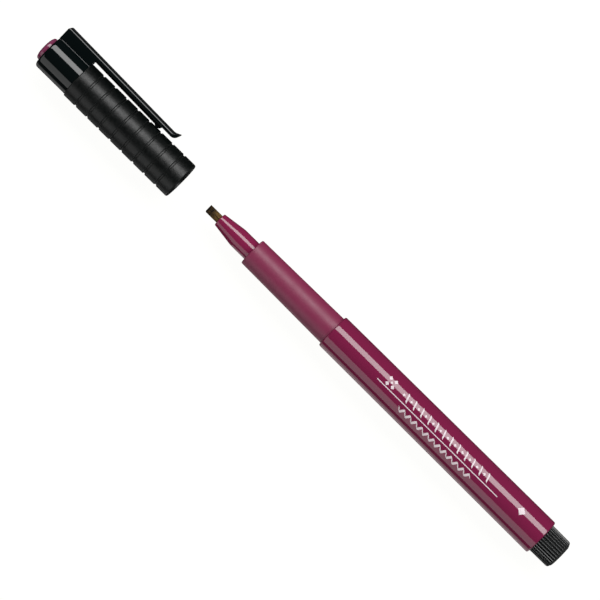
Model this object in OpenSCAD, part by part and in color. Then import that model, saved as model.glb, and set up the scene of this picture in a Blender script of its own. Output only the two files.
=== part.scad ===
// Calligraphy marker lying along X with its cap drawn off the front.
// X runs from the flat rear end of the pen towards the nib, and the clip points along -Y.

/* [Barrel] */
// Length of the barrel between the end plug and the shoulder
barrel_l = 82.3; // [70:0.1:100]
// Outer diameter at the rear end
barrel_rear_d = 11.44; // [11:0.02:12]
// Outer diameter at the front shoulder
barrel_front_d = 10.9; // [10.6:0.02:11.4]
// Diameter of the bore
barrel_bore_d = 8.8; // [8.4:0.1:9]
// Number of ribs that hold the ink reservoir off the wall
air_rib_n = 6; // [3:1:12]

/* [Grip section] */
// Length of the grip in front of the barrel
grip_l = 31.7; // [25:0.1:40]
// Outer diameter at the barrel
grip_rear_d = 9.4; // [9:0.02:9.44]
// Outer diameter at the nib holder
grip_front_d = 8.72; // [8:0.02:9.2]
// Depth of the tail that is pressed into the barrel
grip_tail_l = 10; // [6:0.5:14]

/* [Nib holder] */
// Length of the parallel part
holder_neck_l = 5.5; // [4:0.1:7]
// Length of the cone
holder_cone_l = 7.3; // [5:0.1:9]
// Diameter of the parallel part
holder_d = 6.06; // [5.8:0.02:6.06]
// Diameter of the front face
holder_front_d = 4; // [3.6:0.1:4.6]
// Depth of the tail that is pressed into the grip section
holder_tail_l = 8.8; // [6:0.1:10]

/* [Nib] */
// Width of the writing edge, which is the diameter of the fibre rod
nib_d = 2.55; // [1.4:0.05:2.6]
// Length in front of the holder
nib_out_l = 4.5; // [3:0.1:5]
// Length of the chisel cut
chisel_l = 2.1; // [1.5:0.1:3]
// Thickness of the writing edge
chisel_edge_t = 0.4; // [0.2:0.05:0.8]

/* [Ink reservoir] */
// Diameter of the fibre core
core_d = 6.6; // [5.6:0.1:6.6]
// Wall of the film wrapped round the core
film_t = 0.08; // [0.05:0.01:0.09]
// How far the nib's tail reaches into the core
nib_in_core_l = 11.5; // [6:0.5:20]

/* [End plug] */
// Length of the ribbed head behind the barrel
plug_head_l = 7.4; // [6:0.1:9]
// Diameter over the ribs, next to the barrel
plug_d = 9.56; // [9.4:0.02:9.8]
// Diameter over the ribs, at the rear end
plug_rear_d = 9.37; // [9.2:0.02:9.4]
// Number of ribs round the head
plug_rib_n = 32; // [20:1:40]
// Depth of the spigot in the barrel
plug_spigot_l = 9.6; // [6:0.1:12]

/* [Cap] */
// Gap between the nib and the cap when it is drawn off
cap_gap = 10.7; // [6:0.1:20]
// Length of the ringed sleeve
sleeve_l = 40.7; // [38:0.1:42]
// Outer diameter of the sleeve
sleeve_d = 11.94; // [11.8:0.02:12.2]
// Number of rings on the sleeve
ring_n = 9; // [6:1:12]
// Width of the groove between two rings
groove_w = 0.65; // [0.4:0.05:1]
// Depth of the groove between two rings
groove_t = 0.3; // [0.15:0.05:0.4]
// Length of the crown
crown_l = 11.75; // [11:0.05:13]
// Outer diameter of the crown
crown_d = 11.2; // [11:0.05:11.4]
// Diameter of the colour plug's head
colour_plug_d = 7.6; // [7.2:0.1:8]
// Height of the colour plug's head
colour_plug_h = 1.65; // [1:0.05:2]

/* [Clip] */
// Width of the clip
clip_w = 4.4; // [4:0.1:5]
// Thickness of the clip's plate
clip_t = 1.2; // [0.8:0.05:1.3]
// Width of the rib under the plate
clip_rib_w = 2.2; // [1.6:0.1:3]
// Distance of the clip's outer face from the axis, at the crown's end
clip_root_r = 9.26; // [9.05:0.01:9.3]
// Distance of the clip's outer face from the axis, at the bend of the tip
clip_tip_r = 8.43; // [8.4:0.01:8.6]
// Distance of the bump from the axis
clip_bump_r = 6.12; // [6.05:0.01:6.4]

/* [Hidden] */

smooth = 96;
// Radial gap of pieces that are pressed together, and of pieces that turn in each other
press_gap = 0.02;
turn_gap = 0.05;
// How far a shape runs past a face that it joins or cuts
past = 1;

// Places along X, from the rear end of the pen to the end of the cap
shoulder_x = plug_head_l + barrel_l;
grip_front_x = shoulder_x + grip_l;
cone_x = grip_front_x + holder_neck_l;
holder_front_x = cone_x + holder_cone_l;
nib_tip_x = holder_front_x + nib_out_l;
mouth_x = nib_tip_x + cap_gap;
crown_x = mouth_x + sleeve_l;
crown_end_x = crown_x + crown_l;

// Places inside the pen
plug_spigot_x = plug_head_l + plug_spigot_l;
grip_tail_x = shoulder_x - grip_tail_l;
holder_tail_x = grip_front_x - holder_tail_l;
core_front_x = holder_tail_x - 0.1;
nib_tail_x = core_front_x - nib_in_core_l;
film_setback = 0.2;

barrel_bore_r = barrel_bore_d / 2;
core_r = core_d / 2;
film_r = core_r + press_gap + film_t;
pocket_r = film_r + turn_gap;
air_rib_w = 0.8;
nib_bore_r = nib_d / 2 + press_gap;
holder_tail_r = 2.6;
vent_n = 3;
vent_r = 0.3;

// End plug
plug_corner_r = 0.9;
plug_root_r = plug_rear_d / 2 - 0.25;
plug_cup_r = 2.6;
plug_cup_floor_x = 3;

// Cap
sleeve_r = sleeve_d / 2;
ring_pitch = sleeve_l / ring_n;
rim_chamfer = 0.35;
land_r = grip_rear_d / 2 + 0.06;
land_l = 6;
sleeve_bore_r = land_r + 0.09;
neck_r = 5.1;
neck_l = 8.5;
crown_r = crown_d / 2;
crown_corner_r = 0.7;
crown_wall_t = 1.6;
liner_r = 4.05;
liner_bore_r = 3.1;
liner_l = 17.6;
liner_floor_t = 0.95;
liner_end_x = crown_end_x - crown_wall_t - 0.15;
plug_stem_r = 3.4;
colour_corner_r = 0.8;

// Clip: its root is a round knuckle that sits in a seat in the crown's block
knuckle_r = 0.99;
knuckle_x = crown_x + 0.5;
clip_tip_x = mouth_x + 9;
clip_bend_x = clip_tip_x + 1.6;
clip_slope = (clip_root_r - clip_tip_r) / (crown_end_x - clip_bend_x);
knuckle_y = clip_outer_r(knuckle_x) - knuckle_r;
bump_x = clip_tip_x + 6.6;
bump_radius = 1.25;
bump_w = 2.6;
rib_root_r = knuckle_y - knuckle_r + 0.05;
rib_end_r = 6.51;
block_foot_r = 5;
block_end_x = crown_end_x - 0.02;

// Distance of the clip's straight outer face from the axis, at x
function clip_outer_r(x) = clip_tip_r + clip_slope * (x - clip_bend_x);

// Points of an arc about [r, x], from angle a0 to a1
function arc(r, x, radius, a0, a1, steps = 5) =
    [for (i = [0:steps]) let (a = a0 + (a1 - a0) * i / steps) [r + radius * cos(a), x + radius * sin(a)]];

// A solid of revolution about X, from an outline of [radius, x] points
module turned(outline) {
    rotate([0, 90, 0])
        rotate_extrude($fn = smooth)
            polygon(outline);
}

// A cylinder along X, from x0 to x1
module rod(r, x0, x1) {
    translate([x0, 0, 0])
        rotate([0, 90, 0])
            cylinder(r = r, h = x1 - x0, $fn = smooth);
}

// A flat outline in X and Y, given a thickness across Z
module slab(outline, w) {
    linear_extrude(height = w, center = true)
        polygon(outline);
}

// Outline of a round bar with n straight ribs along it
function ribbed(n, root_r, tip_r) =
    [for (i = [0:n - 1], k = [[-0.34, root_r], [-0.15, tip_r], [0.15, tip_r], [0.34, root_r]])
        let (a = 360 / n * (i + k[0])) [k[1] * cos(a), k[1] * sin(a)]];

module barrel() {
    air_rib_l = grip_tail_x - plug_spigot_x - 2 * film_setback;
    air_rib_h = barrel_bore_r - pocket_r + 0.3;
    color([0.47, 0.13, 0.27]) {
        turned(concat(
            [[barrel_bore_r, plug_head_l]],
            arc(barrel_rear_d / 2 - 0.4, plug_head_l + 0.4, 0.4, -90, 0),
            arc(barrel_front_d / 2 - 0.3, shoulder_x - 0.3, 0.3, 0, 90),
            [[barrel_bore_r, shoulder_x]]
        ));
        for (i = [0:air_rib_n - 1])
            rotate([360 / air_rib_n * i, 0, 0])
                translate([plug_spigot_x + film_setback, -air_rib_w / 2, pocket_r])
                    cube([air_rib_l, air_rib_w, air_rib_h]);
    }
}

module grip_section() {
    tail_r = barrel_bore_r - press_gap;
    color([0.50, 0.22, 0.32])
        difference() {
            turned(concat(
                [[0, grip_tail_x], [tail_r, grip_tail_x], [tail_r, shoulder_x], [grip_rear_d / 2, shoulder_x]],
                arc(grip_front_d / 2 - 0.4, grip_front_x - 0.4, 0.4, 0, 90),
                [[0, grip_front_x]]
            ));
            rod(pocket_r, grip_tail_x - past, holder_tail_x);
            rod(holder_tail_r + press_gap, holder_tail_x - past, grip_front_x + past);
        }
}

module nib_holder() {
    color([0.47, 0.13, 0.27])
        difference() {
            turned(concat(
                [[0, holder_tail_x], [holder_tail_r, holder_tail_x], [holder_tail_r, grip_front_x]],
                [[holder_d / 2, grip_front_x], [holder_d / 2, cone_x]],
                arc(holder_front_d / 2 - 0.3, holder_front_x - 0.3, 0.3, 8, 90),
                [[0, holder_front_x]]
            ));
            rod(nib_bore_r, holder_tail_x - past, holder_front_x + past);
            for (i = [0:vent_n - 1])
                rotate([360 / vent_n * i, 0, 0])
                    translate([0, 0, nib_bore_r + vent_r / 3])
                        rod(vent_r, holder_tail_x - past, holder_front_x + past);
        }
}

module nib() {
    color([0.30, 0.23, 0.10])
        intersection() {
            rod(nib_d / 2, nib_tail_x, nib_tip_x);
            rotate([90, 0, 0])
                slab([
                    [nib_tail_x - past, -nib_d], [nib_tip_x - chisel_l, -nib_d],
                    [nib_tip_x - chisel_l, -nib_d / 2 - 0.01], [nib_tip_x, -chisel_edge_t / 2],
                    [nib_tip_x, chisel_edge_t / 2], [nib_tip_x - chisel_l, nib_d / 2 + 0.01],
                    [nib_tip_x - chisel_l, nib_d], [nib_tail_x - past, nib_d]
                ], 2 * nib_d);
        }
}

module ink_reservoir() {
    color([0.12, 0.10, 0.11])
        difference() {
            rod(core_r, plug_spigot_x, core_front_x);
            rod(nib_bore_r, nib_tail_x - 0.1, core_front_x + past);
        }
}

module reservoir_film() {
    color([0.85, 0.86, 0.88])
        difference() {
            rod(film_r, plug_spigot_x + film_setback, core_front_x - film_setback);
            rod(core_r + press_gap, plug_spigot_x, core_front_x);
        }
}

module end_plug() {
    color([0.07, 0.08, 0.08])
        difference() {
            union() {
                intersection() {
                    turned(concat(
                        [[0, 0]],
                        arc(plug_rear_d / 2 - plug_corner_r, plug_corner_r, plug_corner_r, -90, 0),
                        [[plug_d / 2, plug_head_l], [0, plug_head_l]]
                    ));
                    rotate([0, 90, 0])
                        translate([0, 0, -past])
                            linear_extrude(height = plug_head_l + 2 * past)
                                polygon(ribbed(plug_rib_n, plug_root_r, plug_d / 2 + 0.1));
                }
                rod(barrel_bore_r - press_gap, plug_head_l - past, plug_spigot_x);
            }
            rod(plug_cup_r, plug_cup_floor_x, plug_spigot_x + past);
        }
}

module cap_sleeve() {
    color([0.13, 0.14, 0.14])
        difference() {
            turned([
                [0, mouth_x], [sleeve_r - rim_chamfer, mouth_x], [sleeve_r, mouth_x + rim_chamfer],
                [sleeve_r, crown_x], [0, crown_x]
            ]);
            for (i = [1:ring_n - 1])
                groove(mouth_x + ring_pitch * i);
            rod(land_r, mouth_x - past, mouth_x + land_l + past);
            rod(sleeve_bore_r, mouth_x + land_l, crown_x - neck_l);
            rod(neck_r + press_gap, crown_x - neck_l - 0.1, crown_x + past);
            turned([
                [0, mouth_x - past], [land_r + rim_chamfer + past, mouth_x - past],
                [land_r, mouth_x + rim_chamfer], [0, mouth_x + rim_chamfer]
            ]);
        }
}

// What a groove at x takes out of the sleeve
module groove(x) {
    turned([
        [sleeve_r - groove_t, x - groove_w / 2], [sleeve_r + past, x - groove_w / 2],
        [sleeve_r + past, x + groove_w / 2], [sleeve_r - groove_t, x + groove_w / 2]
    ]);
}

module cap_crown() {
    color([0.04, 0.06, 0.06])
        difference() {
            union() {
                turned(concat(
                    [[0, crown_x - neck_l], [neck_r, crown_x - neck_l], [neck_r, crown_x], [crown_r, crown_x]],
                    arc(crown_r - crown_corner_r, crown_end_x - crown_corner_r, crown_corner_r, 0, 90),
                    [[0, crown_end_x]]
                ));
                slab([
                    [knuckle_x, -block_foot_r], [knuckle_x, -clip_outer_r(knuckle_x)],
                    [block_end_x - 0.8, -clip_outer_r(block_end_x - 0.8)],
                    [block_end_x - 0.25, -clip_root_r + 0.25], [block_end_x, -clip_root_r + 0.8],
                    [block_end_x, -block_foot_r]
                ], clip_w);
            }
            rod(liner_r + turn_gap, crown_x - neck_l - past, crown_end_x - crown_wall_t);
            rod(plug_stem_r + press_gap, crown_end_x - crown_wall_t - past, crown_end_x + past);
            translate([knuckle_x, -knuckle_y, 0])
                cylinder(r = knuckle_r + turn_gap, h = clip_w + past, center = true, $fn = smooth);
        }
}

module clip() {
    color([0.04, 0.06, 0.06]) {
        slab([
            [knuckle_x, -clip_outer_r(knuckle_x) + 0.04], [clip_bend_x, -clip_tip_r],
            [clip_tip_x + 0.3, -clip_tip_r - 0.85], [clip_tip_x, -clip_tip_r - 0.6],
            [clip_bend_x - 0.7, -clip_tip_r + clip_t - 0.1], [clip_bend_x + 0.4, -clip_tip_r + clip_t],
            [knuckle_x, -clip_outer_r(knuckle_x) + 0.04 + clip_t]
        ], clip_w);
        slab([
            [knuckle_x, -knuckle_y], [knuckle_x, -rib_root_r], [bump_x, -rib_end_r],
            [bump_x, -clip_outer_r(bump_x) + clip_t / 2]
        ], clip_rib_w);
        translate([bump_x, -clip_bump_r - bump_radius, 0])
            cylinder(r = bump_radius, h = bump_w, center = true, $fn = smooth);
        translate([knuckle_x, -knuckle_y, 0])
            cylinder(r = knuckle_r, h = clip_w, center = true, $fn = smooth);
    }
}

module inner_cap() {
    color([0.20, 0.21, 0.21])
        difference() {
            rod(liner_r, liner_end_x - liner_l, liner_end_x);
            rod(liner_bore_r, liner_end_x - liner_l - past, liner_end_x - liner_floor_t);
        }
}

module colour_plug() {
    stem_x = crown_end_x - crown_wall_t + 0.05;
    top_x = crown_end_x + colour_plug_h;
    color([0.53, 0.13, 0.30])
        turned(concat(
            [[0, stem_x], [plug_stem_r, stem_x], [plug_stem_r, crown_end_x], [colour_plug_d / 2, crown_end_x]],
            arc(colour_plug_d / 2 - colour_corner_r, top_x - colour_corner_r, colour_corner_r, 0, 90),
            [[0, top_x]]
        ));
}

barrel();
grip_section();
nib_holder();
nib();
ink_reservoir();
reservoir_film();
end_plug();
cap_sleeve();
cap_crown();
clip();
inner_cap();
colour_plug();
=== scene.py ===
import math
import bpy
import bmesh
from mathutils import Matrix, Vector


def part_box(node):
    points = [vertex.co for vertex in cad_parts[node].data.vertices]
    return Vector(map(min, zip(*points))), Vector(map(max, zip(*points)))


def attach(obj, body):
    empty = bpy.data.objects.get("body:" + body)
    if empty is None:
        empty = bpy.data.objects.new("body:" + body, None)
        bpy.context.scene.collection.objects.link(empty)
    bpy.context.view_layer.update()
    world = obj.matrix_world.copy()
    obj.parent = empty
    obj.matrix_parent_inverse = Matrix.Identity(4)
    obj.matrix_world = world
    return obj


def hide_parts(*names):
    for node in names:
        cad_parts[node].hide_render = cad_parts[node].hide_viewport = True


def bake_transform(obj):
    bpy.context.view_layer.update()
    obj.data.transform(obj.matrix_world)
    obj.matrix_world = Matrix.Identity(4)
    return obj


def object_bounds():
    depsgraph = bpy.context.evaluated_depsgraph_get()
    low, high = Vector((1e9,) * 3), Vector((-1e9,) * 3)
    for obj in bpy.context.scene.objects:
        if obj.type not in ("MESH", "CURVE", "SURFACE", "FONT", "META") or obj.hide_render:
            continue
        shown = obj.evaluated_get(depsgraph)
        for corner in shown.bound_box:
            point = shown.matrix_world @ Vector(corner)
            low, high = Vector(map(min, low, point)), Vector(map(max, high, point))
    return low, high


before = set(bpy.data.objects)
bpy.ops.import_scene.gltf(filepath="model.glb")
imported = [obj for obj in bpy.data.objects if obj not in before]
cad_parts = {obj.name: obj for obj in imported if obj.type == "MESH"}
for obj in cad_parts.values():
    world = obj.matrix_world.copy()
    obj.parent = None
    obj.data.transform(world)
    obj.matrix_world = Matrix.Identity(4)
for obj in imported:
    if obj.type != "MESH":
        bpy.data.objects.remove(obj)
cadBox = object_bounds()
print("frame loaded:", len(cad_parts), "nodes")

mm = 0.001  # sizes below are in millimetres, unless a note says otherwise


# places along the pen and the cap, taken from the frame
def spanOf(node):
    low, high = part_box(node)
    return low.x / mm, high.x / mm


plugStart, plugEnd = spanOf("end_plug")
barrelStart, barrelEnd = spanOf("barrel")
gripStart, gripEnd = spanOf("grip_section")
holderStart, holderEnd = spanOf("nib_holder")
nibStart, nibEnd = spanOf("nib")
sleeveStart, sleeveEnd = spanOf("cap_sleeve")
crownStart, crownEnd = spanOf("cap_crown")
capTopStart, capTopEnd = spanOf("colour_plug")
linerStart, linerEnd = spanOf("inner_cap")
clipStart = spanOf("clip")[0]

filletSteps = 7
support = 0.04  # a point this far before and after each fillet keeps the shading of the flats even
smoothBelow = 34  # degrees; an edge that turns more than this stays sharp
onAxis = 1e-6  # a radius under this is a point on the axis


# corners are (x, y) or (x, y, fillet); the result is a plain list of points
def roundOff(corners, closed=True):
    points = []
    count = len(corners)
    for i, corner in enumerate(corners):
        here = Vector(corner[:2])
        fillet = corner[2] if len(corner) > 2 else 0
        atEnd = not closed and i in (0, count - 1)
        if not fillet or atEnd:
            points.append(here)
            continue
        back = (Vector(corners[i - 1][:2]) - here).normalized()
        on = (Vector(corners[(i + 1) % count][:2]) - here).normalized()
        halfAngle = back.angle(on) / 2
        reach = fillet / math.tan(halfAngle)
        centre = here + (back + on).normalized() * fillet / math.sin(halfAngle)
        first = here + back * reach
        last = here + on * reach
        points.append(first + back * support)
        for k in range(filletSteps + 1):
            arm = (first - centre).lerp(last - centre, k / filletSteps)
            points.append(centre + arm.normalized() * fillet)
        points.append(last + on * support)
    return points


# walls between closed rings of corners, and a cap on both ends
def bridge(bm, rings):
    for near, far in zip(rings, rings[1:]):
        for i in range(len(near)):
            j = (i + 1) % len(near)
            bm.faces.new([near[j], near[i], far[i], far[j]])
    bm.faces.new(rings[0])
    bm.faces.new(list(reversed(rings[-1])))


# turns what was built into a piece of the scene
def keep(name, bm, sharp=smoothBelow):
    bmesh.ops.remove_doubles(bm, verts=bm.verts, dist=1e-7)
    bmesh.ops.recalc_face_normals(bm, faces=bm.faces)
    mesh = bpy.data.meshes.new(name)
    bm.to_mesh(mesh)
    bm.free()
    piece = bpy.data.objects.new(name, mesh)
    bpy.context.scene.collection.objects.link(piece)
    soften(piece, sharp)
    return piece


def soften(piece, sharp=smoothBelow):
    piece.data.polygons.foreach_set("use_smooth", [True] * len(piece.data.polygons))
    piece.data.set_sharp_from_angle(angle=math.radians(sharp))


# a solid of revolution about the pen's axis, from an outline of (x, radius) corners
def turn(name, corners, closed=True, around=192, reshape=None):
    outline = roundOff(corners, closed)
    bm = bmesh.new()
    rings = []
    for x, radius in outline:
        if radius < onAxis:
            rings.append([bm.verts.new((x * mm, 0, 0))])
            continue
        ring = []
        for k in range(around):
            angle = 2 * math.pi * k / around
            r = reshape(x, radius, angle) if reshape else radius
            ring.append(bm.verts.new((x * mm, -r * math.sin(angle) * mm, r * math.cos(angle) * mm)))
        rings.append(ring)
    pairs = zip(rings, rings[1:] + rings[:1]) if closed else zip(rings, rings[1:])
    for near, far in pairs:
        for k in range(around):
            j = (k + 1) % around
            loop = [near[k % len(near)], near[j % len(near)], far[j % len(far)], far[k % len(far)]]
            corner = list(dict.fromkeys(loop))  # three corners where a ring has shrunk to a point on the axis
            if len(corner) > 2:
                bm.faces.new(corner)
    return keep(name, bm)


# a flat outline in (x, distance from the axis towards the clip side), given a width across Z
def slab(name, corners, width, bevel):
    outline = roundOff(corners)
    bm = bmesh.new()
    sides = (-width / 2, width / 2)
    bridge(bm, [[bm.verts.new((x * mm, -q * mm, z * mm)) for x, q in outline] for z in sides])
    piece = keep(name, bm)
    edge = bevelEdges(piece, bevel, 4, 50)
    edge.miter_outer = "MITER_ARC"
    return settle(piece)


# the same, but the outline steps in towards both faces: edge is a list of (depth below the face, step in);
# weightAt says how much of the step each place takes
def edgedSlab(name, outline, width, edge, weightAt):
    count = len(outline)
    inward = []
    for i, here in enumerate(outline):
        before = (here - outline[i - 1]).normalized()
        after = (outline[(i + 1) % count] - here).normalized()
        side = Vector((-before.y - after.y, before.x + after.x)).normalized()
        inward.append(side / max(0.5, side.dot(Vector((-before.y, before.x)))))
    turning = sum(a.x * b.y - b.x * a.y for a, b in zip(outline, outline[1:] + outline[:1]))
    sign = 1 if turning > 0 else -1
    levels = [(-width / 2 + depth, step) for depth, step in edge]
    levels += [(-z, step) for z, step in reversed(levels)]
    bm = bmesh.new()
    rings = []
    for z, step in levels:
        ring = []
        for here, side in zip(outline, inward):
            x, q = here + side * sign * step * weightAt(here.x, here.y)
            ring.append(bm.verts.new((x * mm, -q * mm, z * mm)))
        rings.append(ring)
    bridge(bm, rings)
    return keep(name, bm)


def bevelEdges(piece, width, segments, sharperThan):
    edge = piece.modifiers.new("edge", "BEVEL")
    edge.width = width * mm
    edge.segments = segments
    edge.limit_method = "ANGLE"
    edge.angle_limit = math.radians(sharperThan)
    return edge


# applies what is live on a piece
def settle(piece):
    graph = bpy.context.evaluated_depsgraph_get()
    done = bpy.data.meshes.new_from_object(piece.evaluated_get(graph))
    piece.modifiers.clear()
    old = piece.data
    piece.data = done
    done.name = piece.name
    bpy.data.meshes.remove(old)
    return piece


# melts overlapping solids into one skin
def fuse(base, others):
    for other in others:
        step = base.modifiers.new("fuse", "BOOLEAN")
        step.operation = "UNION"
        step.solver = "EXACT"
        step.object = other
        settle(base)
        bpy.data.objects.remove(other)
    soften(base)
    return base


# a node in a tree, with its inputs set to a value or linked to a socket
def addNode(tree, kind, inputs, settings):
    node = tree.nodes.new(kind)
    for key, value in settings.items():
        setattr(node, key, value)
    for key, value in (inputs or {}).items():
        if isinstance(value, bpy.types.NodeSocket):
            tree.links.new(value, node.inputs[key])
        else:
            node.inputs[key].default_value = value
    return node


# a geometry node tree with named inputs
class Tree:
    def __init__(self, name, inputs):
        self.group = bpy.data.node_groups.new(name, "GeometryNodeTree")
        face = self.group.interface
        face.new_socket("Geometry", in_out="INPUT", socket_type="NodeSocketGeometry")
        for label, kind, value in inputs:
            socket = face.new_socket(label, in_out="INPUT", socket_type="NodeSocket" + kind)
            if value is not None:
                socket.default_value = value
        face.new_socket("Geometry", in_out="OUTPUT", socket_type="NodeSocketGeometry")
        self.start = self.group.nodes.new("NodeGroupInput")
        self.end = self.group.nodes.new("NodeGroupOutput")

    def given(self, label):
        return self.start.outputs[label]

    def add(self, kind, inputs=None, **settings):
        return addNode(self.group, kind, inputs, settings)

    def math(self, operation, a, b=0.0):
        return self.add("ShaderNodeMath", {0: a, 1: b}, operation=operation).outputs[0]

    # copies of the given piece in a row along X
    def row(self):
        step = self.add("ShaderNodeCombineXYZ", {"X": self.given("Pitch")})
        points = self.add("GeometryNodeMeshLine", {"Count": self.given("Count"), "Offset": step.outputs[0]})
        return self.add("GeometryNodeInstanceOnPoints", {
            "Points": points.outputs[0], "Instance": self.given("Geometry")}).outputs[0]

    def finish(self, geometry):
        real = self.add("GeometryNodeRealizeInstances", {0: geometry})
        coated = self.add("GeometryNodeSetMaterial", {
            "Geometry": real.outputs[0], "Material": self.given("Material")})
        self.group.links.new(coated.outputs[0], self.end.inputs[0])
        return self.group


# copies of a piece in a ring about the pen's axis
def ringTree():
    tree = Tree("ringOfCopies", [("Count", "Int", 8), ("Material", "Material", None)])
    points = tree.add("GeometryNodeMeshLine", {"Count": tree.given("Count"), "Offset": (0.0, 0.0, 0.0)})
    share = tree.math("DIVIDE", 2 * math.pi, tree.given("Count"))
    angle = tree.math("MULTIPLY", tree.add("GeometryNodeInputIndex").outputs[0], share)
    spin = tree.add("ShaderNodeCombineXYZ", {"X": angle})
    copies = tree.add("GeometryNodeInstanceOnPoints", {
        "Points": points.outputs[0], "Instance": tree.given("Geometry"), "Rotation": spin.outputs[0]})
    return tree.finish(copies.outputs[0])


# copies of a piece in a row along the pen's axis
def rowTree():
    tree = Tree("rowOfCopies", [
        ("Count", "Int", 5), ("Pitch", "Float", 0.005), ("Material", "Material", None)])
    return tree.finish(tree.row())


# flat marks, repeated in a row and then wrapped onto the tapered barrel
def printTree():
    tree = Tree("marksOnBarrel", [
        ("Count", "Int", 1), ("Pitch", "Float", 0.003), ("Rear Radius", "Float", 0.0057),
        ("Rear Place", "Float", 0.0), ("Taper", "Float", 0.003), ("Turn", "Float", 0.0),
        ("Material", "Material", None)])
    real = tree.add("GeometryNodeRealizeInstances", {0: tree.row()})
    place = tree.add("ShaderNodeSeparateXYZ", {0: tree.add("GeometryNodeInputPosition").outputs[0]})
    run = tree.math("SUBTRACT", place.outputs["X"], tree.given("Rear Place"))
    drop = tree.math("MULTIPLY", run, tree.given("Taper"))
    skin = tree.math("SUBTRACT", tree.given("Rear Radius"), drop)
    radius = tree.math("ADD", skin, place.outputs["Z"])
    angle = tree.math("ADD", tree.given("Turn"), tree.math("DIVIDE", place.outputs["Y"], skin))
    side = tree.math("MULTIPLY", radius, tree.math("MULTIPLY", tree.math("SINE", angle), -1.0))
    up = tree.math("MULTIPLY", radius, tree.math("COSINE", angle))
    wrapped = tree.add("ShaderNodeCombineXYZ", {"X": place.outputs["X"], "Y": side, "Z": up})
    moved = tree.add("GeometryNodeSetPosition", {"Geometry": real.outputs[0], "Position": wrapped.outputs[0]})
    return tree.finish(moved.outputs[0])


# runs a tree on a piece and leaves a plain mesh
def grow(piece, group, values, sharp=smoothBelow):
    work = piece.modifiers.new("grow", "NODES")
    work.node_group = group
    for item in group.interface.items_tree:
        if item.in_out == "INPUT" and item.name in values:
            work[item.identifier] = values[item.name]
    settle(piece)
    soften(piece, sharp)
    return piece


# a material whose patterns follow Object coordinates
class Finish:
    def __init__(self, name):
        self.material = bpy.data.materials.new(name)
        self.material.use_nodes = True
        self.tree = self.material.node_tree
        self.shader = self.tree.nodes["Principled BSDF"]
        self.place = self.add("ShaderNodeTexCoord").outputs["Object"]

    def add(self, kind, inputs=None, **settings):
        return addNode(self.tree, kind, inputs, settings)

    # noise with grains of one size in millimetres, stretched along the pen if asked
    def noise(self, grain, detail=2.0, stretch=1.0, rough=0.5):
        scaled = self.add("ShaderNodeMapping", {"Vector": self.place, "Scale": (1 / stretch, 1.0, 1.0)})
        node = self.add("ShaderNodeTexNoise", {
            "Vector": scaled.outputs[0], "Scale": 1 / (grain * mm), "Detail": detail, "Roughness": rough})
        return node.outputs["Fac"]

    def ramp(self, value, low, high, start, end):
        node = self.add("ShaderNodeMapRange", {
            "Value": value, "From Min": low, "From Max": high, "To Min": start, "To Max": end})
        return node.outputs[0]

    # the same for a noise, most of which lies between 0.3 and 0.7
    def spread(self, noise, start, end):
        return self.ramp(noise, 0.3, 0.7, start, end)

    def blendColour(self, share, first, second):
        node = self.add("ShaderNodeMix", {"Factor": share}, data_type="RGBA")
        for socket, value in ((node.inputs[6], first), (node.inputs[7], second)):
            if isinstance(value, bpy.types.NodeSocket):
                self.tree.links.new(value, socket)
            else:
                socket.default_value = (*value, 1)
        return node.outputs[2]

    def bump(self, height, depth, under=None):
        inputs = {"Height": height, "Distance": depth * mm, "Strength": 1.0}
        if under:
            inputs["Normal"] = under
        return self.add("ShaderNodeBump", inputs).outputs[0]

    # fully rough between two distances from the axis
    def dullBetween(self, roughness, low, high):
        fade = 0.03
        place = self.add("ShaderNodeSeparateXYZ", {0: self.place})
        across = self.add("ShaderNodeCombineXYZ", {"Y": place.outputs["Y"], "Z": place.outputs["Z"]})
        radius = self.add("ShaderNodeVectorMath", {0: across.outputs[0]}, operation="LENGTH").outputs["Value"]
        above = self.ramp(radius, high * mm, (high + fade) * mm, 1.0, 0.0)
        below = self.ramp(radius, low * mm, (low - fade) * mm, 1.0, 0.0)
        inside = self.add("ShaderNodeMath", {0: above, 1: below}, operation="MULTIPLY").outputs[0]
        return self.add("ShaderNodeMath", {0: roughness, 1: inside}, operation="MAXIMUM").outputs[0]

    def set(self, label, value):
        self.shader.inputs[label].default_value = value

    def feed(self, label, socket):
        self.tree.links.new(socket, self.shader.inputs[label])


# moulded plastic: a colour with a faint cloud in it, uneven gloss and a fine skin
def plastic(name, spec):
    made = Finish(name)
    tint = spec["colour"]
    shade = tuple(c * spec.get("cloud", 0.9) for c in tint)
    made.feed("Base Color", made.blendColour(made.noise(spec.get("cloudSize", 9), 3), tint, shade))
    roughness = made.spread(made.noise(spec.get("smearSize", 2.5), 4), *spec["roughness"])
    if "dull" in spec:  # the walls of grooves and the roots of ribs
        roughness = made.dullBetween(roughness, *spec["dull"])
    made.feed("Roughness", roughness)
    skin = made.bump(made.noise(spec["grain"], 3), spec["grainDepth"])
    if "wave" in spec:
        skin = made.bump(made.noise(spec["wave"], 1, 6), spec["waveDepth"], skin)
    made.feed("Normal", skin)
    made.set("IOR", spec.get("ior", 1.5))
    made.set("Specular IOR Level", spec.get("gloss", 0.5))
    return made.material


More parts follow.
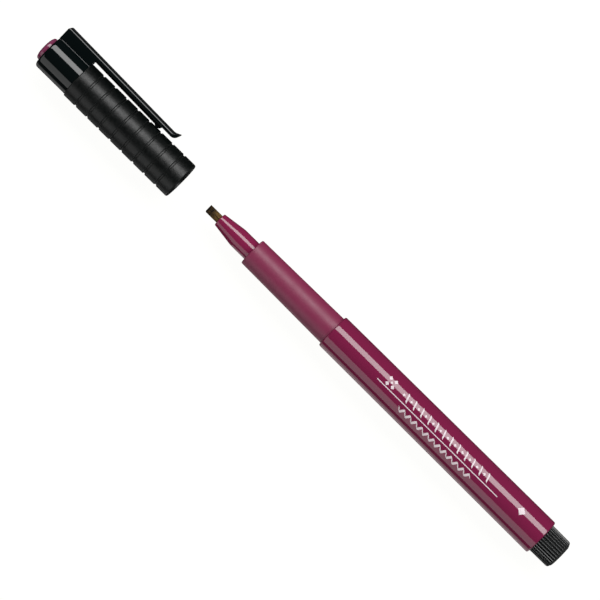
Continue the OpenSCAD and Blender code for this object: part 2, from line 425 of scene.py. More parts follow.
# pressed fibre: long dark and light strands, inked at the writing end
def fibre(name, spec):
    made = Finish(name)
    strands = made.noise(spec["strand"], 4, spec["stretch"], 0.65)
    colour = made.blendColour(made.ramp(strands, 0.35, 0.65, 0, 1), spec["dark"], spec["light"])
    along = made.add("ShaderNodeSeparateXYZ", {0: made.place}).outputs["X"]
    blot = made.noise(spec["blot"], 2)
    inked = made.ramp(along, spec["inkStart"] * mm, spec["inkEnd"] * mm, 0.0, 1.0)
    soaked = made.add("ShaderNodeMath", {0: inked, 1: made.spread(blot, 0.55, 1.1)}, operation="MULTIPLY")
    soaked.use_clamp = True
    made.feed("Base Color", made.blendColour(soaked.outputs[0], colour, spec["ink"]))
    made.feed("Roughness", made.spread(strands, *spec["roughness"]))
    made.feed("Normal", made.bump(strands, spec["depth"]))
    made.set("Specular IOR Level", spec.get("gloss", 0.3))
    return made.material


def clearFilm(name, spec):
    made = Finish(name)
    made.feed("Base Color", made.blendColour(made.noise(3, 2), spec["light"], spec["dark"]))
    made.feed("Roughness", made.spread(made.noise(1.5, 3), *spec["roughness"]))
    made.set("Alpha", spec["alpha"])
    return made.material


finishes = {
    "barrel_gloss": plastic("barrelGloss", {
        "colour": (0.128, 0.0088, 0.038), "roughness": (0.05, 0.08), "ior": 1.53,
        "grain": 0.6, "grainDepth": 0.0003, "wave": 5.0, "waveDepth": 0.003}),
    "holder_gloss": plastic("holderGloss", {
        "colour": (0.148, 0.010, 0.042), "roughness": (0.07, 0.10), "ior": 1.53,
        "grain": 0.6, "grainDepth": 0.0003, "wave": 4.0, "waveDepth": 0.001}),
    "colour_gloss": plastic("colourGloss", {
        "colour": (0.160, 0.028, 0.072), "roughness": (0.07, 0.12), "grain": 0.3, "grainDepth": 0.0008}),
    "grip_matte": plastic("gripMatte", {
        "colour": (0.146, 0.0150, 0.047), "roughness": (0.42, 0.52), "gloss": 0.36,
        "grain": 0.16, "grainDepth": 0.010, "cloudSize": 1.2, "cloud": 0.86}),
    "crown_black": plastic("crownBlack", {
        "colour": (0.0012, 0.0024, 0.0026), "roughness": (0.06, 0.085), "ior": 1.45,
        "grain": 0.8, "grainDepth": 0.0002, "wave": 5.0, "waveDepth": 0.0015}),
    "sleeve_black": plastic("sleeveBlack", {
        "colour": (0.0006, 0.0013, 0.0012), "roughness": (0.31, 0.44), "gloss": 0.29,
        "grain": 0.38, "grainDepth": 0.026, "smearSize": 0.7, "cloudSize": 0.8, "cloud": 0.6,
        "dull": (5.72, 5.92)}),
    "plug_black": plastic("plugBlack", {
        "colour": (0.0025, 0.0035, 0.0035), "roughness": (0.10, 0.15), "gloss": 0.58,
        "grain": 0.4, "grainDepth": 0.001, "dull": (3.3, 4.50)}),
    "liner_grey": plastic("linerGrey", {
        "colour": (0.020, 0.020, 0.021), "roughness": (0.35, 0.5), "grain": 0.3, "grainDepth": 0.004}),
    "print_white": plastic("printWhite", {
        "colour": (0.50, 0.43, 0.455), "roughness": (0.40, 0.55), "grain": 0.12, "grainDepth": 0.004,
        "cloudSize": 0.5, "cloud": 0.88}),
    "nib_fibre": fibre("nibFibre", {
        "dark": (0.006, 0.003, 0.001), "light": (0.105, 0.060, 0.015), "ink": (0.0035, 0.0022, 0.0015),
        "strand": 0.30, "stretch": 7, "blot": 0.9, "inkStart": nibEnd - 3.0, "inkEnd": nibEnd - 1.6,
        "roughness": (0.6, 0.85), "depth": 0.05, "gloss": 0.12}),
    "ink_core": fibre("inkCore", {
        "dark": (0.016, 0.008, 0.012), "light": (0.05, 0.02, 0.03), "ink": (0.012, 0.006, 0.009),
        "strand": 0.35, "stretch": 12, "blot": 3, "inkStart": 0, "inkEnd": 110,
        "roughness": (0.7, 0.9), "depth": 0.02}),
    "film_clear": clearFilm("filmClear", {
        "light": (0.80, 0.82, 0.84), "dark": (0.70, 0.72, 0.75), "roughness": (0.12, 0.25), "alpha": 0.35}),
}
print("materials made:", len(finishes))

ringOfCopies = ringTree()
rowOfCopies = rowTree()
marksOnBarrel = printTree()


# gives a finished piece its material, its slot, the body it rides on and the node it stands for
def fit(piece, slotName, body, *nodes):
    piece.data.materials.clear()
    piece.data.materials.append(finishes[slotName])
    if body:
        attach(piece, body)
    if nodes:
        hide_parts(*nodes)
    return piece


# puts separate shells into one piece
def join(name, pieces, sharp=smoothBelow):
    bm = bmesh.new()
    for piece in pieces:
        bm.from_mesh(piece.data)
        bpy.data.objects.remove(piece)
    mesh = bpy.data.meshes.new(name)
    bm.to_mesh(mesh)
    bm.free()
    whole = bpy.data.objects.new(name, mesh)
    bpy.context.scene.collection.objects.link(whole)
    soften(whole, sharp)
    return whole


barrel = {
    "rearRadius": 5.72, "frontRadius": 5.45, "bore": 4.4, "rearCorner": 0.45, "frontCorner": 0.5,
    "airRibs": 6, "airRibWidth": 0.8, "airRibTop": 3.45, "airRibRoot": 4.7, "airRibGap": 0.2,
}
barrelTaper = (barrel["rearRadius"] - barrel["frontRadius"]) / (barrelEnd - barrelStart)


def makeBarrel():
    tube = turn("barrelTube", [
        (barrelStart, barrel["bore"]), (barrelStart, barrel["rearRadius"], barrel["rearCorner"]),
        (barrelEnd, barrel["frontRadius"], barrel["frontCorner"]), (barrelEnd, barrel["bore"])], around=256)
    start = plugEnd + barrel["airRibGap"]
    end = gripStart - barrel["airRibGap"]
    top, root = barrel["airRibTop"], barrel["airRibRoot"]  # the root lies inside the wall
    middle = Vector((start + end, 0, top + root)) / 2
    bm = bmesh.new()
    bmesh.ops.create_cube(bm, size=1, matrix=Matrix.LocRotScale(
        middle * mm, None, Vector((end - start, barrel["airRibWidth"], root - top)) * mm))
    rib = keep("airRib", bm)
    grow(rib, ringOfCopies, {"Count": barrel["airRibs"], "Material": finishes["barrel_gloss"]})
    return fit(join("barrelShell", [tube, rib]), "barrel_gloss", "pen", "barrel")


makeBarrel()
print("barrel made")

grip = {
    "tailRadius": 4.38, "rearRadius": 4.70, "frontRadius": 4.36, "frontCorner": 0.42, "pocket": 3.45,
    "holderBore": 2.62, "recess": 3.16, "recessDepth": 0.35, "tailCorner": 0.1, "recessCorner": 0.08,
}


def makeGrip():
    inner = grip["holderBore"]
    recess = gripEnd - grip["recessDepth"]
    piece = turn("gripSection", [
        (gripStart, grip["pocket"]), (gripStart, grip["tailRadius"], grip["tailCorner"]),
        (barrelEnd, grip["tailRadius"]),
        (barrelEnd, grip["rearRadius"]), (gripEnd, grip["frontRadius"], grip["frontCorner"]),
        (gripEnd, grip["recess"], grip["recessCorner"]), (recess, grip["recess"]), (recess, inner),
        (holderStart, inner), (holderStart, grip["pocket"])], around=224)
    return fit(piece, "grip_matte", "pen", "grip_section")


makeGrip()

holder = {
    "tailRadius": 2.6, "neckRadius": 3.03, "neckLength": 5.5, "shoulderBlend": 12, "frontRadius": 2.03,
    "frontCorner": 0.34, "tailCorner": 0.15, "bore": 1.295,
    "vents": 3, "ventDepth": 0.26, "ventWidth": 0.42,  # ventWidth is half the angle of a channel, in radians
}


# hollows the bore out where the air channels run
def ventShape(x, radius, angle):
    if radius > holder["bore"] + 0.1:
        return radius
    step = 2 * math.pi / holder["vents"]
    offset = abs((angle + step / 2) % step - step / 2)
    return radius + holder["ventDepth"] * max(0.0, 1 - (offset / holder["ventWidth"]) ** 2)


def makeHolder():
    shoulder = gripEnd - grip["recessDepth"]
    cone = gripEnd + holder["neckLength"]
    piece = turn("nibHolder", [
        (holderStart, holder["bore"]), (holderStart, holder["tailRadius"], holder["tailCorner"]),
        (shoulder, holder["tailRadius"]), (shoulder, holder["neckRadius"]),
        (cone, holder["neckRadius"], holder["shoulderBlend"]),
        (holderEnd, holder["frontRadius"], holder["frontCorner"]), (holderEnd, holder["bore"])],
        around=192, reshape=ventShape)
    return fit(piece, "holder_gloss", "pen", "nib_holder")


makeHolder()
print("grip and nib holder made")

nib = {"radius": 1.275, "tailCorner": 0.15, "chisel": 2.1, "edge": 0.34, "cornerCut": 0.32, "soft": 0.05}


def makeNib():
    rod = turn("nibRod", [
        (nibStart, 0), (nibStart, nib["radius"], nib["tailCorner"]), (nibEnd, nib["radius"]), (nibEnd, 0)],
        closed=False, around=96)
    lean = math.atan2(nib["radius"] - nib["edge"] / 2, nib["chisel"])
    tip = Vector((nibEnd, 0, 0))
    cuts = [  # the chisel's two faces, and the nick off one corner of its edge
        (tip + Vector((0, 0, nib["edge"] / 2)), Vector((math.sin(lean), 0, math.cos(lean)))),
        (tip - Vector((0, 0, nib["edge"] / 2)), Vector((math.sin(lean), 0, -math.cos(lean)))),
        (tip + Vector((0, nib["radius"] - nib["cornerCut"], 0)), Vector((1, 1, 0)).normalized())]
    bm = bmesh.new()
    bm.from_mesh(rod.data)
    bpy.data.objects.remove(rod)
    for place, facing in cuts:
        everything = bm.verts[:] + bm.edges[:] + bm.faces[:]
        made = bmesh.ops.bisect_plane(
            bm, geom=everything, plane_co=place * mm, plane_no=facing, clear_outer=True, dist=1e-8)
        rim = [e for e in made["geom_cut"] if isinstance(e, bmesh.types.BMEdge)]
        bmesh.ops.contextual_create(bm, geom=rim)
    piece = keep("fibreNib", bm, 30)
    bevelEdges(piece, nib["soft"], 3, 24)
    settle(piece)
    soften(piece, 40)
    return fit(piece, "nib_fibre", "pen", "nib")


makeNib()
print("nib made")

plug = {
    "rootRadius": 4.22, "rearRootRadius": 4.14, "corner": 0.9, "spigot": 4.38, "spigotCorner": 0.3,
    "cup": 2.6, "cupFloor": 3.0, "cupCorner": 0.4,
    "headGap": 0.02,  # between the head and the barrel's rear face; the ribs stop twice as far off
    "ribs": 32, "ribTop": 0.54, "ribSink": 0.03, "ribFoot": 0.01, "ribWidth": 0.54, "ribStart": 0.3,
    "ribTaper": 0.8, "ribTip": 0.45,  # the share of its width that a rib keeps at its rear end
    "ribRows": 20, "ribCrowding": 1.8, "ribAcross": 13,
}


# one rib on top of the head: a half round bar whose rear end runs down into the rounding
def makeRib():
    bm = bmesh.new()
    start, front = plug["ribStart"], barrelStart - 2 * plug["headGap"]
    corner, across = plug["corner"], plug["ribAcross"]
    rows = []
    for i in range(plug["ribRows"] + 1):
        x = start + (front - start) * (i / plug["ribRows"]) ** plug["ribCrowding"]
        root = plug["rearRootRadius"] + (plug["rootRadius"] - plug["rearRootRadius"]) * x / barrelStart
        sink = corner - math.sqrt(corner ** 2 - max(0, corner - x) ** 2)
        rise = min(1.0, (x - start) / plug["ribTaper"])
        rise = math.sqrt(1 - (1 - rise) ** 2)
        base = root - sink - plug["ribSink"]
        height = plug["ribTop"] * rise + plug["ribSink"] + plug["ribFoot"]
        share = plug["ribTip"] + (1 - plug["ribTip"]) * rise
        width = plug["ribWidth"] * share * (root - sink) / plug["rootRadius"]
        row = []
        for k in range(across):
            a = math.pi * k / (across - 1)
            y, z = width / 2 * math.cos(a), base + height * math.sin(a)
            row.append(bm.verts.new((x * mm, y * mm, z * mm)))
        rows.append(row)
    bridge(bm, rows)
    return keep("plugRib", bm, 60)


def makePlug():
    headEnd = barrelStart - plug["headGap"]
    head = turn("plugHead", [
        (plugStart, 0), (plugStart, plug["rearRootRadius"], plug["corner"]),
        (headEnd, plug["rootRadius"]), (headEnd, plug["spigot"]),
        (plugEnd, plug["spigot"], plug["spigotCorner"]), (plugEnd, plug["cup"]),
        (plug["cupFloor"], plug["cup"], plug["cupCorner"]), (plug["cupFloor"], 0)], closed=False)
    rib = makeRib()
    grow(rib, ringOfCopies, {"Count": plug["ribs"], "Material": finishes["plug_black"]}, 60)
    return fit(join("endPlug", [head, rib], 60), "plug_black", "pen", "end_plug")


makePlug()
print("end plug made")

sleeve = {
    "radius": 5.97, "floor": 5.66, "rings": 9, "groove": 0.84, "grooveFloor": 0.40, "ringEdge": 0.07,
    "mouthCorner": 0.5, "crownCorner": 0.3, "land": 4.76, "landLength": 6, "bore": 4.85, "neck": 5.12,
    "neckLength": 8.6, "mouthInner": 0.35, "floorCorner": 0.02, "hoopSink": 0.15,
}


def makeSleeve():
    pitch = (sleeveEnd - sleeveStart) / sleeve["rings"]
    half = sleeve["groove"] / 2
    slope = (sleeve["groove"] - sleeve["grooveFloor"]) / 2  # the walls of a groove lean out this much
    outer, floor, edge = sleeve["radius"], sleeve["floor"], sleeve["ringEdge"]
    floorCorner, sunk = sleeve["floorCorner"], sleeve["floor"] - sleeve["hoopSink"]
    firstEnd = sleeveStart + pitch - half
    lastStart = sleeveEnd - pitch + half
    step = sleeveEnd - sleeve["neckLength"]
    landEnd = sleeveStart + sleeve["landLength"]
    body = turn("sleeveBody", [
        (sleeveStart, outer, sleeve["mouthCorner"]), (firstEnd, outer, edge),
        (firstEnd + slope, floor, floorCorner), (lastStart - slope, floor, floorCorner),
        (lastStart, outer, edge), (sleeveEnd, outer, sleeve["crownCorner"]),
        (sleeveEnd, sleeve["neck"]), (step, sleeve["neck"]), (step, sleeve["bore"]),
        (landEnd, sleeve["bore"]), (landEnd, sleeve["land"]),
        (sleeveStart, sleeve["land"], sleeve["mouthInner"])], around=256)
    near, far = firstEnd + 2 * half, firstEnd + pitch
    foot = floor - floorCorner / 2
    hoop = turn("ringHoop", [
        (near, sunk), (near - slope, foot), (near, outer, edge),
        (far, outer, edge), (far + slope, foot), (far, sunk)], around=256)
    grow(hoop, rowOfCopies, {
        "Count": sleeve["rings"] - 2, "Pitch": pitch * mm, "Material": finishes["sleeve_black"]})
    return fit(join("ringedSleeve", [body, hoop]), "sleeve_black", "cap", "cap_sleeve")


makeSleeve()
print("cap sleeve made")

crown = {
    "radius": 5.6, "corner": 0.95, "bore": 4.1, "neck": 5.1, "wall": 1.6, "hole": 3.42,
    "neckCorner": 0.1, "shoulderCorner": 0.12, "holeCorner": 0.08,
}


def makeCrown():
    wall = crownEnd - crown["wall"]
    piece = turn("capCrown", [
        (crownStart, crown["bore"]), (crownStart, crown["neck"], crown["neckCorner"]),
        (sleeveEnd, crown["neck"]), (sleeveEnd, crown["radius"], crown["shoulderCorner"]),
        (crownEnd, crown["radius"], crown["corner"]), (crownEnd, crown["hole"], crown["holeCorner"]),
        (wall, crown["hole"]), (wall, crown["bore"])], around=256)
    return fit(piece, "crown_black", "cap", "cap_crown")


clip = {
    "rootRadius": 9.26, "tipRadius": 8.43, "thick": 1.19, "width": 4.4, "foot": 5.0, "rootCorner": 0.66,
    "rootGap": 0.02, "bend": 1.6, "bendLead": 0.2, "bendCurve": 2.6, "straightFrom": 4, "lift": 0.84,
    "tipEdge": 0.06,
    "tipReach": 1.75, "tipDepth": 1.98, "tipSteps": 8, "gapStart": 0.06, "gapCorner": 0.3,
    "ribWidth": 2.2, "ribRoot": 7.13, "ribEnd": 6.51, "ribBury": 0.4, "ribSoft": 0.1, "ribLead": 0.5,
    "ribNose": 0.6, "ribNoseRise": 0.2,
    "bump": 6.14, "bumpPlace": 6.6, "bumpRadius": 1.32, "bumpWidth": 2.4, "bumpSoft": 0.12, "bumpSteps": 24,
    "fillet": 0.32, "filletSteps": 8, "filletBury": 0.4, "filletHeel": 0.35, "filletToe": 0.2,
    "filletLead": 0.15,
    # the outer edge: a narrow flat that leans outwards, then a tight round; (depth below the side, step in)
    "edge": ((0, 0.325), (0.014, 0.270), (0.144, 0.040), (0.180, 0.010), (0.22, 0)),
    # the share of that step at the tip's end, at the bend and on all but the outer part of the arm
    "edgeAtTip": 0.25, "edgeAtBend": 0.70, "edgeInside": 0.3, "edgeFade": 0.3, "edgeBand": 0.8,
}


# the concave joint between the block's flat sides and the round crown
def makeFillets(start, end):
    half = clip["width"] / 2
    r = clip["fillet"]
    centreZ = half + r
    centreQ = math.sqrt((crown["radius"] + r) ** 2 - centreZ ** 2)
    onBlock = -math.pi / 2
    onCrown = math.atan2(-centreZ, -centreQ)
    points = [(centreQ - r * clip["filletToe"], half - clip["filletBury"]), (centreQ, half)]
    for k in range(clip["filletSteps"] + 1):
        a = onBlock + (onCrown - onBlock) * k / clip["filletSteps"]
        points.append((centreQ + r * math.cos(a), centreZ + r * math.sin(a)))
    points.append((points[-1][0] - clip["filletHeel"], points[-1][1] - clip["filletHeel"]))
    bars = []
    for side in (1, -1):
        bm = bmesh.new()
        ends = [[bm.verts.new((x * mm, -q * mm, side * z * mm)) for q, z in points] for x in (start, end)]
        bridge(bm, ends)
        bars.append(keep("blockFillet", bm))
    return bars


# how far the arm's outer face lies from the axis
def clipOuter(x):
    root, tip = crownEnd - clip["rootGap"], clipStart + clip["bend"]
    return clip["tipRadius"] + (clip["rootRadius"] - clip["tipRadius"]) * (x - tip) / (root - tip)


# the full edge runs along the outer face only, and fades towards the tip
def edgeWeight(x, q):
    fadeEnd = clipStart + clip["bend"] + clip["edgeFade"]
    if x < fadeEnd:
        share = max(0.0, (x - clipStart) / (fadeEnd - clipStart))
        return clip["edgeAtTip"] + (clip["edgeAtBend"] - clip["edgeAtTip"]) * share
    return 1.0 if q > clipOuter(x) - clip["edgeBand"] * clip["thick"] else clip["edgeInside"]


# the arm, its turned-up tip and the block, as one outline seen from the side
def makeClipPlate(gapX):
    rootX = crownEnd - clip["rootGap"]
    bendX = clipStart + clip["bend"]
    straightX = bendX + clip["straightFrom"]
    tipQ = clip["tipRadius"] + clip["lift"]
    edge, reach = clip["tipEdge"], clip["tipReach"]
    corners = [
        (rootX, clip["foot"]), (rootX, clip["rootRadius"], clip["rootCorner"]),
        (straightX, clipOuter(straightX)),
        (bendX + clip["bendLead"], clip["tipRadius"], clip["bendCurve"]), (clipStart, tipQ, edge)]
    for k in range(1, clip["tipSteps"] + 1):  # the rounded underside of the tip
        a = math.pi / 2 * k / clip["tipSteps"]
        corners.append((
            clipStart + edge + reach * (1 - math.cos(a)),
            tipQ - 2 * edge - (clip["tipDepth"] - 2 * edge) * math.sin(a)))
    corners += [(gapX, clipOuter(gapX) - clip["thick"], clip["gapCorner"]), (gapX, clip["foot"])]
    return edgedSlab("clipPlate", roundOff(corners), clip["width"], clip["edge"], edgeWeight)


def makeClip():
    gapX = sleeveEnd + clip["gapStart"]  # the slot between the clip and the sleeve ends here
    bumpX = clipStart + clip["bumpPlace"]
    r = clip["bumpRadius"]
    ribX = gapX + clip["ribLead"]
    bury, ribEnd = clip["ribBury"], clip["ribEnd"]
    rib = slab("clipRib", [
        (ribX, clipOuter(gapX) - bury), (ribX, clip["ribRoot"]), (bumpX + r * clip["ribNose"], ribEnd),
        (bumpX, ribEnd + clip["ribNoseRise"]), (bumpX, clipOuter(bumpX) - bury)],
        clip["ribWidth"], clip["ribSoft"])
    halfCircle = []
    for k in range(clip["bumpSteps"] + 1):
        a = math.pi * k / clip["bumpSteps"]
        halfCircle.append((bumpX + r * math.cos(a), clip["bump"] + r - r * math.sin(a)))
    bump = slab("clipBump", halfCircle, clip["bumpWidth"], clip["bumpSoft"])
    fillets = makeFillets(sleeveEnd + clip["filletLead"], crownEnd - crown["corner"])
    piece = fuse(makeClipPlate(gapX), [rib, bump, *fillets])
    piece.name = "pocketClip"
    fit(piece, "crown_black", None, "clip")
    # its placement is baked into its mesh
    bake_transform(piece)
    return piece


liner = {"radius": 4.05, "bore": 3.1, "floor": 0.95, "endCorner": 0.4, "mouthCorner": 0.25}
capTop = {
    "radius": 3.8, "rootCorner": 0.06, "stem": 3.4, "stemCorner": 0.1, "side": 1.05, "edge": 0.8,
    "flat": 2.4, "top": 0.13, "dome": 3.0,
}


def makeLiner():
    floor = linerEnd - liner["floor"]
    piece = turn("innerCap", [
        (linerEnd, 0), (linerEnd, liner["radius"], liner["endCorner"]),
        (linerStart, liner["radius"], liner["mouthCorner"]), (linerStart, liner["bore"], liner["mouthCorner"]),
        (floor, liner["bore"], liner["endCorner"]), (floor, 0)], closed=False, around=160)
    return fit(piece, "liner_grey", "cap_core", "inner_cap")


def makeCapTop():
    top = capTopEnd - capTop["top"]
    piece = turn("colourPlug", [
        (capTopStart, 0), (capTopStart, capTop["stem"], capTop["stemCorner"]), (crownEnd, capTop["stem"]),
        (crownEnd, capTop["radius"], capTop["rootCorner"]),
        (crownEnd + capTop["side"], capTop["radius"], capTop["edge"]),
        (top, capTop["flat"], capTop["dome"]), (top, 0)], closed=False)
    return fit(piece, "colour_gloss", "cap", "colour_plug")


makeCrown()
makeClip()
makeLiner()
makeCapTop()
print("cap made")

for node, slotName in (("ink_reservoir", "ink_core"), ("reservoir_film", "film_clear")):
    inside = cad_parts[node]
    inside.data.materials.clear()
    inside.data.materials.append(finishes[slotName])

marks = {
    "lift": 0.014, "sink": 0.03, "hair": 0.10, "penAngle": 40,
    "turn": 4.2,  # degrees of the rule from the top of the barrel, towards the clip's side
    "ruleStart": 24.4, "ruleEnd": 71.4, "ruleWidth": 0.17,
    "barStart": 29.5, "barCount": 12, "barPitch": 2.86, "barPen": 0.62, "barHeight": 2.5, "barLean": 0.75,
    "dotPen": 0.85, "betweenDot": 0.7, "heartDot": 0.6,  # small dots, as shares of dotPen
    "rowLift": 0.75,
    "flowerPlace": 67.6, "flowerReach": 0.95,
    "waveStart": 33.6, "waveEnd": 61.5, "waveLength": 2.3, "waveHeight": 0.62, "wavePen": 0.62,
    "waveDrop": 1.75,
    "badgePlace": 16.7, "badgePen": 1.75,
}


# a stroke of a broad pen: its edge, held at one angle, is carried along a path of (x, y) points
def penStroke(bm, path, penWidth, angle=None, across=4):
    tilt = math.radians(marks["penAngle"] if angle is None else angle)
    arm = Vector((math.cos(tilt), math.sin(tilt))) * penWidth / 2
    low, high = [], []
    for i, point in enumerate(path):
        here = Vector(point)
        ahead = (Vector(path[min(i + 1, len(path) - 1)]) - Vector(path[max(i - 1, 0)])).normalized()
        side = Vector((-ahead.y, ahead.x))
        sign = 1 if arm.dot(side) >= 0 else -1
        reach = arm * sign + side * marks["hair"] / 2
        rowLow, rowHigh = [], []
        for k in range(across + 1):
            spot = here + reach * (2 * k / across - 1)
            rowLow.append(bm.verts.new((spot.x * mm, spot.y * mm, -marks["sink"] * mm)))
            rowHigh.append(bm.verts.new((spot.x * mm, spot.y * mm, marks["lift"] * mm)))
        low.append(rowLow)
        high.append(rowHigh)
    for i in range(len(path) - 1):
        for k in range(across):
            bm.faces.new([high[i][k], high[i + 1][k], high[i + 1][k + 1], high[i][k + 1]])
            bm.faces.new([low[i][k], low[i][k + 1], low[i + 1][k + 1], low[i + 1][k]])
        for k in (0, across):
            bm.faces.new([low[i][k], low[i + 1][k], high[i + 1][k], high[i][k]])
    for i in (0, len(path) - 1):
        for k in range(across):
            bm.faces.new([low[i][k], high[i][k], high[i][k + 1], low[i][k + 1]])


def straight(start, end, steps):
    return [tuple(Vector(start).lerp(Vector(end), i / steps)) for i in range(steps + 1)]


def printMark(name, bm, count=1, pitch=1.0):
    piece = keep(name, bm, 60)
    grow(piece, marksOnBarrel, {
        "Count": count, "Pitch": pitch * mm, "Rear Radius": barrel["rearRadius"] * mm,
        "Rear Place": barrelStart * mm, "Taper": barrelTaper, "Turn": math.radians(marks["turn"]),
        "Material": finishes["print_white"]}, 60)
    return fit(piece, "print_white", "pen")


# the mark that a broad pen leaves when it is drawn no further than its own width
def lozenge(bm, x, y, size):
    tilt = math.radians(marks["penAngle"] + 90)
    step = Vector((math.cos(tilt), math.sin(tilt))) * size / 2
    penStroke(bm, straight(Vector((x, y)) - step, Vector((x, y)) + step, 4), size)


def printRule():
    bm = bmesh.new()
    penStroke(bm, straight((marks["ruleStart"], 0), (marks["ruleEnd"], 0), 40), marks["ruleWidth"], 90, 2)
    printMark("printRule", bm)


def printBars():
    bm = bmesh.new()
    x, y = marks["barStart"], marks["rowLift"]
    foot = (x, y)
    head = (x + marks["barLean"], y + marks["barHeight"])
    penStroke(bm, straight(foot, head, 12), marks["barPen"])
    between = x + marks["barPitch"] / 2 + marks["barLean"] / 2
    lozenge(bm, between, y + marks["barHeight"] / 2, marks["dotPen"] * marks["betweenDot"])
    printMark("printBars", bm, marks["barCount"], marks["barPitch"])


def printFlower():
    bm = bmesh.new()
    y = marks["rowLift"] + marks["barHeight"] / 2
    for k in range(4):
        a = math.radians(marks["penAngle"] + 90 * k)
        reach = marks["flowerReach"] * math.sqrt(2)
        lozenge(bm, marks["flowerPlace"] + math.cos(a) * reach, y + math.sin(a) * reach, marks["dotPen"])
    lozenge(bm, marks["flowerPlace"], y, marks["dotPen"] * marks["heartDot"])
    printMark("printFlower", bm)


def printWave():
    bm = bmesh.new()
    start, end = marks["waveStart"], marks["waveEnd"]
    steps = 300
    path = []
    for i in range(steps + 1):
        x = start + (end - start) * i / steps
        swing = math.sin(2 * math.pi * (x - start) / marks["waveLength"])
        path.append((x, -marks["waveDrop"] + marks["waveHeight"] * swing))
    penStroke(bm, path, marks["wavePen"], across=3)
    printMark("printWave", bm)


# one larger lozenge near the plug
def printBadge():
    bm = bmesh.new()
    lozenge(bm, marks["badgePlace"], marks["rowLift"] + marks["barHeight"] / 2, marks["badgePen"])
    printMark("printBadge", bm)


printRule()
printBars()
printFlower()
printWave()
printBadge()
print("print made")

stage = {  # reach and tent are in metres, drop is how far the floor lies under the pen
    "reach": 3.0, "tent": 3.3, "drop": 0.02, "albedo": 0.05, "glow": 0.965, "tone": (1.0, 1.0, 0.985),
    "patch": 60, "patchShade": 0.985, "room": 0.03,
}


# pale paint that glows a little; a face seen from behind is clear, so the pen shows from below too
def makePaint():
    made = Finish("palePaint")
    albedo = stage["albedo"]
    patches = made.noise(stage["patch"], 2)
    made.feed("Base Color", made.blendColour(patches, (albedo,) * 3, (albedo * stage["patchShade"],) * 3))
    made.set("Roughness", 0.9)
    made.set("Specular IOR Level", 0.0)
    made.set("Emission Color", (*stage["tone"], 1))
    made.set("Emission Strength", stage["glow"])
    behind = made.add("ShaderNodeNewGeometry").outputs["Backfacing"]
    clear = made.add("ShaderNodeBsdfTransparent")
    either = made.add("ShaderNodeMixShader", {0: behind, 1: made.shader.outputs[0], 2: clear.outputs[0]})
    made.tree.links.new(either.outputs[0], made.tree.nodes["Material Output"].inputs["Surface"])
    return made.material


def makeFloor():
    floor = bmesh.new()
    z = cadBox[0].z - stage["drop"] * mm
    for x, y in ((-1, -1), (1, -1), (1, 1), (-1, 1)):
        floor.verts.new((x * stage["reach"], y * stage["reach"], z))
    floor.faces.new(floor.verts)
    tent = bmesh.new()
    bmesh.ops.create_uvsphere(tent, u_segments=48, v_segments=24, radius=stage["tent"])
    paint = makePaint()
    for name, bm, inside in (("paleFloor", floor, False), ("paleTent", tent, True)):
        sheet = keep(name, bm)
        if inside:
            sheet.data.flip_normals()
        sheet.data.materials.append(paint)
        # only the camera sees them, so that the soft boxes show in the pen's gloss instead
        sheet.visible_glossy = False
        sheet.visible_diffuse = False
        sheet.visible_transmission = False
        sheet.visible_shadow = False


lightDistance = 500
lights = {  # side is in degrees from straight up, towards the clip's side
    "key": {"side": 47.0, "spread": 30.0, "radiance": 7.2, "middle": 102, "length": 1600},
    "fill": {"side": -56.0, "spread": 42.0, "radiance": 1.32, "middle": 102, "length": 1600},
    "card": {"side": -122.0, "spread": 44.0, "radiance": 0.8, "middle": -280, "length": 900},
    "tailCard": {"side": -122.0, "spread": 30.0, "radiance": 0.45, "middle": 350, "length": 240},
    # these two light the back and the underside, and don't show in the gloss
    "backBox": {
        "side": -96.0, "spread": 50.0, "radiance": 0.7, "middle": 102, "length": 1600, "gloss": False},
    "underBox": {
        "side": 180.0, "spread": 70.0, "radiance": 0.9, "middle": 102, "length": 1200, "gloss": False},
}


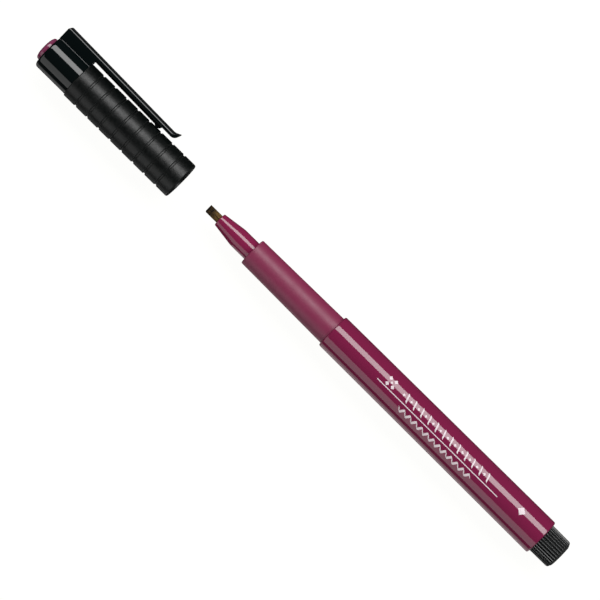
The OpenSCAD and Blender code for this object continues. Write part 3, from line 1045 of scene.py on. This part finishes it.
# a long soft box parallel to the pen; radiance is what its surface shows
def softBox(name, spec):
    aim = Vector((spec["middle"] * mm, 0, 0))
    angle = math.radians(spec["side"])
    away = Vector((0, -math.sin(angle), math.cos(angle)))
    lamp = bpy.data.lights.new(name, "AREA")
    lamp.shape = "RECTANGLE"
    lamp.size = spec["length"] * mm
    lamp.size_y = 2 * lightDistance * math.tan(math.radians(spec["spread"] / 2)) * mm
    lamp.energy = spec["radiance"] * math.pi * lamp.size * lamp.size_y
    box = bpy.data.objects.new(name, lamp)
    bpy.context.scene.collection.objects.link(box)
    along = Vector((1, 0, 0))
    box.matrix_world = Matrix.Translation(aim + away * lightDistance * mm) @ Matrix((
        along, away.cross(along), away)).transposed().to_4x4()
    box.visible_camera = False
    box.visible_glossy = spec.get("gloss", True)


camera = {  # tilt leans the view towards the clip's side, and heading is where the pen points in it
    "distance": 1240, "tilt": 10.0, "foot": -33.6, "aimX": 102.24, "aimDown": 0.21,
    "heading": (-0.7109, 0.7034), "view": 7.763,
}


def makeCamera():
    tilt = math.radians(camera["tilt"])
    over = Vector((0, -math.sin(tilt), math.cos(tilt)))
    below = Vector((0, math.cos(tilt), math.sin(tilt)))
    aim = (Vector((camera["aimX"], 0, 0)) + below * camera["aimDown"]) * mm
    eye = aim + Vector((camera["foot"] * mm, 0, 0)) + over * camera["distance"] * mm
    back = (eye - aim).normalized()
    along = (Vector((1, 0, 0)) - back * back.x).normalized()
    side = back.cross(along)
    headX, headY = camera["heading"]
    right = along * headX - side * headY
    up = along * headY + side * headX
    lens = bpy.data.cameras.new("camera")
    lens.sensor_width = 36
    lens.angle = math.radians(camera["view"])
    lens.clip_start = 0.01
    lens.clip_end = 50
    seat = bpy.data.objects.new("camera", lens)
    bpy.context.scene.collection.objects.link(seat)
    seat.matrix_world = Matrix.Translation(eye) @ Matrix((right, up, back)).transposed().to_4x4()
    bpy.context.scene.camera = seat


makeFloor()
for name, spec in lights.items():
    softBox(name, spec)
makeCamera()
world = bpy.data.worlds.new("room")
bpy.context.scene.world = world
world.use_nodes = True
backdrop = world.node_tree.nodes["Background"]
backdrop.inputs["Color"].default_value = (1, 1, 1, 1)
backdrop.inputs["Strength"].default_value = stage["room"]
bpy.context.scene.view_settings.view_transform = "Standard"
print("stage made")
